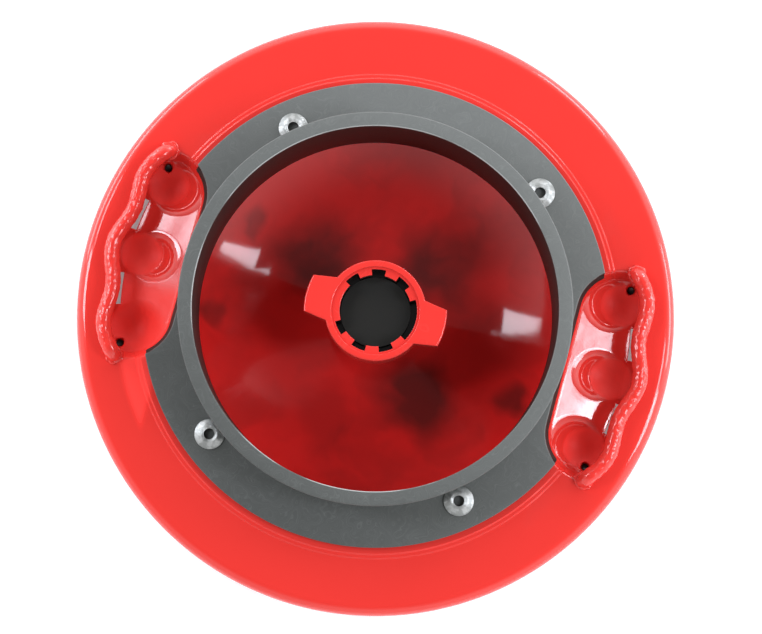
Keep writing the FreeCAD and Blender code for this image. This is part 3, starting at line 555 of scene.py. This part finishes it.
def rod_along(name, path, radius, around, lump, coarse, fine):
    """A closed rod round a path of points, with an uneven painted surface."""
    points, faces = [], []
    for index, centre in enumerate(path):
        ahead = path[min(index + 1, len(path) - 1)]
        behind = path[max(index - 1, 0)]
        heading = (ahead - behind).normalized()
        outward = Vector((centre.x, centre.y, 0.0)).normalized()
        lift = heading.cross(outward).normalized()
        side = lift.cross(heading).normalized()
        for step in range(around):
            lean = 2.0 * math.pi * step / around
            direction = side * math.cos(lean) + lift * math.sin(lean)
            shell = radius - lump * 0.6 + lumpy(centre + direction * radius, lump, coarse, fine)
            points.append(tuple(centre + direction * shell))
    for index in range(len(path) - 1):
        for step in range(around):
            beyond = (step + 1) % around
            faces.append((index * around + step, index * around + beyond,
                          (index + 1) * around + beyond, (index + 1) * around + step))
    faces.append(tuple(reversed(range(around))))
    faces.append(tuple((len(path) - 1) * around + step for step in range(around)))
    return finish_mesh(name, points, faces, crease=60.0)


def bar_point(angle):
    """A point of the bar's wavy middle line."""
    radius = BAR_MIDDLE + BAR_WAVE * math.cos(2.0 * math.pi * angle / CUP_ANGLE)
    return Vector((radius * math.cos(math.radians(angle)), radius * math.sin(math.radians(angle)),
                   BAR_HEIGHT))


def bar_leg(side):
    """The bend and the leg at one end of a bar, from the wave's end down."""
    end = bar_point(side * WAVE_END)
    along = (end - bar_point(side * (WAVE_END - 0.5))).normalized()
    centre = end - Vector((0.0, 0.0, BAR_BEND))
    bend = [centre + along * BAR_BEND * math.sin(lean) + Vector((0, 0, BAR_BEND * math.cos(lean)))
            for lean in (math.radians(step * 10.0) for step in range(1, 10))]
    leg_end = bend[-1] - Vector((0.0, 0.0, 3.6))
    return bend + [bend[-1] - Vector((0.0, 0.0, 1.8)), leg_end]


bar_paint = painted_red("bar_enamel", gloss=0.14, peel=3.0, blotch=0.14, lumps=4.5)
bar_path = (bar_leg(-1)[::-1] + [bar_point(angle) for angle in spread(-WAVE_END, WAVE_END, 0.25)]
            + [bar_point(WAVE_END)] + bar_leg(1))
for name, half_turn in (("right_grip_bar", 1.0), ("left_grip_bar", -1.0)):
    path = [Vector((point.x * half_turn, point.y * half_turn, point.z)) for point in bar_path]
    bar = rod_along(name + "_rod", path, BAR_RADIUS, 40, 0.26, 0.55, 1.9)
    bar.data.materials.append(bar_paint)
    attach(bar, "cover")
    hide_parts(name)
    for end, leg in (("a", path[0]), ("b", path[-1])):
        ring, faces = [], []
        rounds, across = 36, 14
        for step in range(rounds):
            lean = 2.0 * math.pi * step / rounds
            for part in range(across):
                tilt = 2.0 * math.pi * part / across
                reach = 2.9 + 1.05 * math.cos(tilt)
                spot = Vector((leg.x + reach * math.cos(lean), leg.y + reach * math.sin(lean),
                               face + 0.1 + 1.1 * math.sin(tilt)))
                bulge = lumpy(spot, 0.75, 0.42, 1.1)
                spot += Vector((math.cos(lean), math.sin(lean), 0.6)) * bulge
                ring.append(tuple(spot))
        for step in range(rounds):
            for part in range(across):
                faces.append((step * across + part, ((step + 1) % rounds) * across + part,
                              ((step + 1) % rounds) * across + (part + 1) % across,
                              step * across + (part + 1) % across))
        weld = finish_mesh(name + "_weld_" + end, ring, faces, crease=60.0)
        weld.data.materials.append(bar_paint)
        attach(weld, "cover")

# ---- seat ring: black moulding with a flat band, a flared collar and a sleeve ----
# A ring of black plastic, moulded in one piece and riveted to the land. Its collar stands up
# inside the band, and the band is cut away over the two pockets with a bevelled edge.

RING_RADIUS = 96.8
RING_SHEET = 3.8
RING_GAP = 0.05
RING_BEVEL = 1.9
COLLAR_FOOT = 78.2
LIP_OUTSIDE = 80.2
LIP_INSIDE = 74.3
SLEEVE_OUTSIDE = 77.7
LIP_RISE = 30.0
SLEEVE_DROP = 12.0
lip_top = face + LIP_RISE
band_back = face + LAND_RISE + RING_GAP
band_top = band_back + RING_SHEET


def cutout_radius(angle, set_back):
    """How far out the band reaches at an angle, with its cut-out edge moved in by a set-back."""
    turned = abs((angle + 90.0) % 180.0 - 90.0)
    ray = (math.cos(math.radians(turned)), math.sin(math.radians(turned)))
    corner = (POCKET_EDGE + POCKET_CORNER, POCKET_SIDE - POCKET_CORNER)
    straight = (POCKET_EDGE - set_back) / ray[0] if ray[0] > 0.05 else RING_RADIUS
    if straight * ray[1] <= corner[1]:
        return min(straight, RING_RADIUS)
    along = corner[0] * ray[0] + corner[1] * ray[1]
    room = (POCKET_CORNER + set_back) ** 2 - corner[0] ** 2 - corner[1] ** 2 + along ** 2
    if room <= 0.0:
        return RING_RADIUS
    return min(along - math.sqrt(room), RING_RADIUS)


def rounded(corners, steps=5):
    """A closed outline whose corners, given with a radius each, are rounded off."""
    outline = []
    for index, (x, y, radius) in enumerate(corners):
        here = Vector((x, y))
        if radius <= 0.0:
            outline.append((x, y))
            continue
        before = Vector(corners[index - 1][:2]) - here
        after = Vector(corners[(index + 1) % len(corners)][:2]) - here
        half = before.angle(after) / 2.0
        reach = min(radius / math.tan(half), 0.45 * before.length, 0.45 * after.length)
        first, last = here + before.normalized() * reach, here + after.normalized() * reach
        for step in range(steps + 1):
            share = step / steps
            point = first * (1 - share) ** 2 + here * 2 * share * (1 - share) + last * share ** 2
            outline.append((point.x, point.y))
    return outline


def ring_section(angle):
    """The ring's section, with its band cut short over a pocket."""
    edge = cutout_radius(angle, 0.0)
    bevel = max(cutout_radius(angle, RING_BEVEL), COLLAR_FOOT + 0.25)
    if edge >= RING_RADIUS:
        edge = RING_RADIUS - 0.05
    return rounded([
        (LIP_INSIDE, face - SLEEVE_DROP, 0.4),
        (SLEEVE_OUTSIDE, face - SLEEVE_DROP, 0.4),
        (SLEEVE_OUTSIDE, band_back, 0.0),
        (edge, band_back, 0.2),
        (min(bevel, edge) if bevel < RING_RADIUS else RING_RADIUS, band_top, 0.5),
        (COLLAR_FOOT, band_top, 0.0),
        (LIP_OUTSIDE, lip_top, 0.6),
        (LIP_INSIDE, lip_top, 0.6),
    ])


cut_angles = spread(-27.0, 27.0, 0.25)
ring_angles = (cut_angles + spread(27.0, 153.0, 1.0) + [angle + 180.0 for angle in cut_angles]
               + spread(207.0, 333.0, 1.0))
seat_ring = swept_round("band_and_collar", ring_angles, ring_section, crease=40.0)
ring_plastic, start, place = new_finish("ring_moulding")
cloud = place.speckle(11.0, 4.0)
scuff = place.swirl(place.speckle(60.0)).speckle(90.0, 6.0, 0.65)
grain = place.speckle(3200.0, 2.0)
radius, level = place.from_axis(), place.part(2)
# painted light: the moulding is painted lighter towards one side, where more of the room's light
# falls
painted_lit_side = (0.42 * place.part(0) + 0.91 * place.part(1)).step(-110.0, 100.0)
shades = (0.28 * cloud + 0.22 * scuff.step(0.45, 0.7) + 0.5 * painted_lit_side).tint(
    (0.048, 0.051, 0.047), (0.175, 0.182, 0.174))
# painted shade: the inside of the sleeve below the lip is painted near-black
sleeve = 1.0 - radius.step(LIP_INSIDE + 0.3, LIP_INSIDE + 0.6)
painted_sleeve_shade = sleeve * (1.0 - level.step(lip_top - 1.1, lip_top - 0.5))
# painted highlight: a thin broken line along the lip's inner edge is painted pale grey
edge = 1.0 - radius.step(LIP_INSIDE + 0.2, LIP_INSIDE + 0.5)
painted_edge_highlight = edge * level.step(lip_top - 0.6, lip_top - 0.3) * place.speckle(20.0, 3.0).step(0.44, 0.56)
shades = painted_edge_highlight.tint(shades, (0.36, 0.37, 0.36))
# painted shade: the band's outer edge, its bevel over the pockets and its underside are painted
# near-black
outer = radius.step(COLLAR_FOOT + 0.3, COLLAR_FOOT + 0.6)
bevel = outer * (1.0 - level.step(band_top - 0.75, band_top - 0.25))
surface(start, {
    "Base Color": (painted_sleeve_shade + bevel).tint(shades, (0.014, 0.010, 0.008)),
    "Roughness": 0.46 + 0.18 * scuff - 0.08 * cloud,
    "Specular IOR Level": 0.4,
}, grain * 0.6 + place.speckle(240.0, 3.0), 0.00006, 0.3)
seat_ring.data.materials.append(ring_plastic)
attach(seat_ring, "cover")
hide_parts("seat_ring")

# ---- rivets: four tubular rivets of aluminium that hold the ring down ----
# Large-flange blind rivets, their heads turned on a lathe and pulled up tight by a mandrel that
# has broken off below the bore.

RIVET_ACROSS = 53.14
RIVET_UP = 66.09
RIVET_PLACES = [(x, y) for x in (RIVET_ACROSS, -RIVET_ACROSS) for y in (RIVET_UP, -RIVET_UP)]
rivet_row = rounded([
    (2.1, band_top - 13.0, 0.0), (3.2, band_top - 13.0, 0.0), (3.2, band_top, 0.0),
    (6.25, band_top, 0.1), (6.25, band_top + 0.75, 0.35), (3.9, band_top + 2.05, 0.3),
    (3.5, band_top + 2.2, 0.2), (2.1, band_top + 2.2, 0.35),
])
rivet_metal, start, place = new_finish("rivet_aluminium")
for number, (x, y) in enumerate(RIVET_PLACES, start=1):
    rivet = swept_round(f"rivet_{number}", spread(0.0, 360.0, 5.0), lambda angle: rivet_row)
    rivet.data.transform(Matrix.Translation((x * MM, y * MM, 0.0)))
    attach(rivet, "cover")
    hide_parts("blind_rivets")
    rivet.data.materials.append(rivet_metal)
scratch = place.speckle(2200.0, 4.0)
folded = place.node("VectorMath", {"operation": "ABSOLUTE"}, {0: place})
offset = folded.node("VectorMath", {"operation": "SUBTRACT"},
                     {0: folded, 1: (RIVET_ACROSS * MM, RIVET_UP * MM, 0.0)})
grooves = (14.0 * offset.from_axis()).maths("SINE")
# painted shade: each rivet's bore is painted near-black
bore = 1.0 - offset.from_axis().step(2.0, 2.4)
turned = (0.35 * scratch + 0.65 * place.speckle(420.0).step(0.4, 0.6)).tint(
    (0.34, 0.35, 0.34), (0.66, 0.67, 0.66))
surface(start, {
    "Base Color": bore.tint(turned, (0.03, 0.03, 0.03)),
    "Metallic": 1.0,
    "Roughness": 0.26 + 0.2 * scratch,
}, grooves + scratch * 0.5, 0.00005, 0.8)

# ---- lug collar: castellated socket head with two lugs ----
# A steel head that turns on the post. Eight square teeth line its bore, with the place of a
# ninth left open and one notch filled, and a lug stands out on each side. It is enamelled red.

HUB_RISE = 17.6
HUB_RADIUS = 20.8
STEP_RADIUS = 18.1
STEP_DEPTH = 1.2
SOCKET_RADIUS = 17.1
TOOTH_RADIUS = 14.7
TOOTH_FOOT = 7.45
NOTCH_HALF = 2.8
NOTCH_MIDDLE = 15.9
WIDE_NOTCH = 2.2
LUG_REACH = 29.4
LUG_TIP_HALF = 7.7
LUG_ROOT_HALF = 9.2
LUG_THICK = 7.0
HEAD_HEIGHT = 15.0
NECK_RADIUS = 16.5
NECK_LENGTH = 12.0
NECK_BORE = 10.7
SOCKET_DEPTH = 12.0
NOTCH_ANGLES = [180.0 + 40.0 * step for step in range(1, 9)]
hub_top = face + HUB_RISE


def half_angle(half_width, radius):
    """How many degrees a half width takes at a radius."""
    return math.degrees(math.asin(half_width / radius))


notch_reach = half_angle(NOTCH_HALF, NOTCH_MIDDLE)
wide_reach = half_angle(WIDE_NOTCH * NOTCH_HALF, NOTCH_MIDDLE)
tip_angle = half_angle(LUG_TIP_HALF, LUG_REACH)
root_angle = half_angle(LUG_ROOT_HALF, HUB_RADIUS)


def notch_cut(angle):
    """Whether the bore is cut back to the notch roots at an angle."""
    for centre in NOTCH_ANGLES:
        if abs((angle - centre + 180.0) % 360.0 - 180.0) < notch_reach:
            return True
    return abs((angle + 180.0) % 360.0 - 180.0) < wide_reach


def lug_radius(angle):
    """How far out the head reaches at an angle, lugs included."""
    turned = abs((angle + 90.0) % 180.0 - 90.0)
    if turned <= tip_angle:
        return LUG_REACH
    if turned >= root_angle:
        return HUB_RADIUS
    start = (LUG_REACH * math.cos(math.radians(tip_angle)), LUG_TIP_HALF)
    end = (HUB_RADIUS * math.cos(math.radians(root_angle)), LUG_ROOT_HALF)
    cosine, sine = math.cos(math.radians(turned)), math.sin(math.radians(turned))
    run, climb = end[0] - start[0], end[1] - start[1]
    return (start[0] * climb - start[1] * run) / (cosine * climb - sine * run)


def collar_section(angle):
    """The head's section, from the bore over the top to the neck and back."""
    bore = SOCKET_RADIUS if notch_cut(angle) else TOOTH_RADIUS
    outside = lug_radius(angle)
    return rounded([
        (bore, hub_top - TOOTH_FOOT, 0.0),
        (bore, hub_top - STEP_DEPTH, 0.25),
        (STEP_RADIUS, hub_top - STEP_DEPTH, 0.0),
        (STEP_RADIUS, hub_top, 0.35),
        (outside, hub_top, 0.8),
        (outside, hub_top - LUG_THICK, 0.8),
        (HUB_RADIUS, hub_top - LUG_THICK - 0.01, 0.0),
        (HUB_RADIUS, hub_top - HEAD_HEIGHT, 0.6),
        (NECK_RADIUS, hub_top - HEAD_HEIGHT, 0.0),
        (NECK_RADIUS, hub_top - HEAD_HEIGHT - NECK_LENGTH, 0.4),
        (NECK_BORE, hub_top - HEAD_HEIGHT - NECK_LENGTH, 0.0),
        (NECK_BORE, hub_top - SOCKET_DEPTH, 0.0),
        (SOCKET_RADIUS, hub_top - SOCKET_DEPTH, 0.0),
        (SOCKET_RADIUS, hub_top - TOOTH_FOOT, 0.0),
    ])


flanks = []
for centre, reach in [(centre, notch_reach) for centre in NOTCH_ANGLES] + [(0.0, wide_reach)]:
    for side in (-reach, reach):
        flanks += [centre + side - 0.03, centre + side + 0.03]
for corner in (tip_angle, root_angle):
    flanks += [side * corner + turn for side in (1, -1) for turn in (0.0, 180.0)]
collar_angles = sorted({round(angle % 360.0, 4) for angle in flanks + spread(0.0, 360.0, 1.5)})
lug_collar = swept_round("lug_head", collar_angles, collar_section, crease=38.0)


def in_socket(place):
    """Painted shade in the socket: the bore under the castellated edge is painted near-black."""
    level = place.part(2)
    below = 1.0 - level.step(hub_top - 1.9, hub_top - 1.5)
    above = level.step(hub_top - 12.6, hub_top - 12.3)
    return (1.0 - place.from_axis().step(SOCKET_RADIUS, SOCKET_RADIUS + 0.3)) * below * above


hub_paint = painted_red("hub_enamel", gloss=0.22, peel=0.6, blotch=0.12, dark=in_socket)
lug_collar.data.materials.append(hub_paint)
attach(lug_collar, "collar")
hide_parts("lug_collar")

# ---- bearing, clip, cap and stop pin inside the head ----
# The bush and washer are bronze, the clip and pin are spring steel, and a black cap closes the
# floor of the socket so that dirt stays out of the bearing.

cap_plastic, start, place = new_finish("cap_plastic")
dust = place.speckle(160.0, 5.0)
surface(start, {"Base Color": dust.tint((0.006, 0.006, 0.005), (0.016, 0.015, 0.012)),
                "Roughness": 0.55 + 0.3 * dust, "Specular IOR Level": 0.3},
        place.speckle(1400.0), 0.00005, 0.4)
bronze, start, place = new_finish("bush_bronze")
smear = place.speckle(700.0, 3.0)
surface(start, {"Base Color": smear.tint((0.45, 0.29, 0.12), (0.66, 0.47, 0.22)), "Metallic": 1.0,
                "Roughness": 0.28 + 0.2 * smear}, smear, 0.00002, 0.4)
steel, start, place = new_finish("spring_steel")
smear = place.speckle(900.0, 3.0)
surface(start, {"Base Color": smear.tint((0.30, 0.30, 0.31), (0.48, 0.48, 0.49)), "Metallic": 1.0,
                "Roughness": 0.3 + 0.2 * smear}, smear, 0.00002, 0.4)
for name, finish in (("socket_cap", cap_plastic), ("collar_bush", bronze),
                     ("thrust_washer", bronze), ("retaining_ring", steel), ("stop_pin", steel)):
    for patch in nodes[name].material_slots:
        patch.material = finish
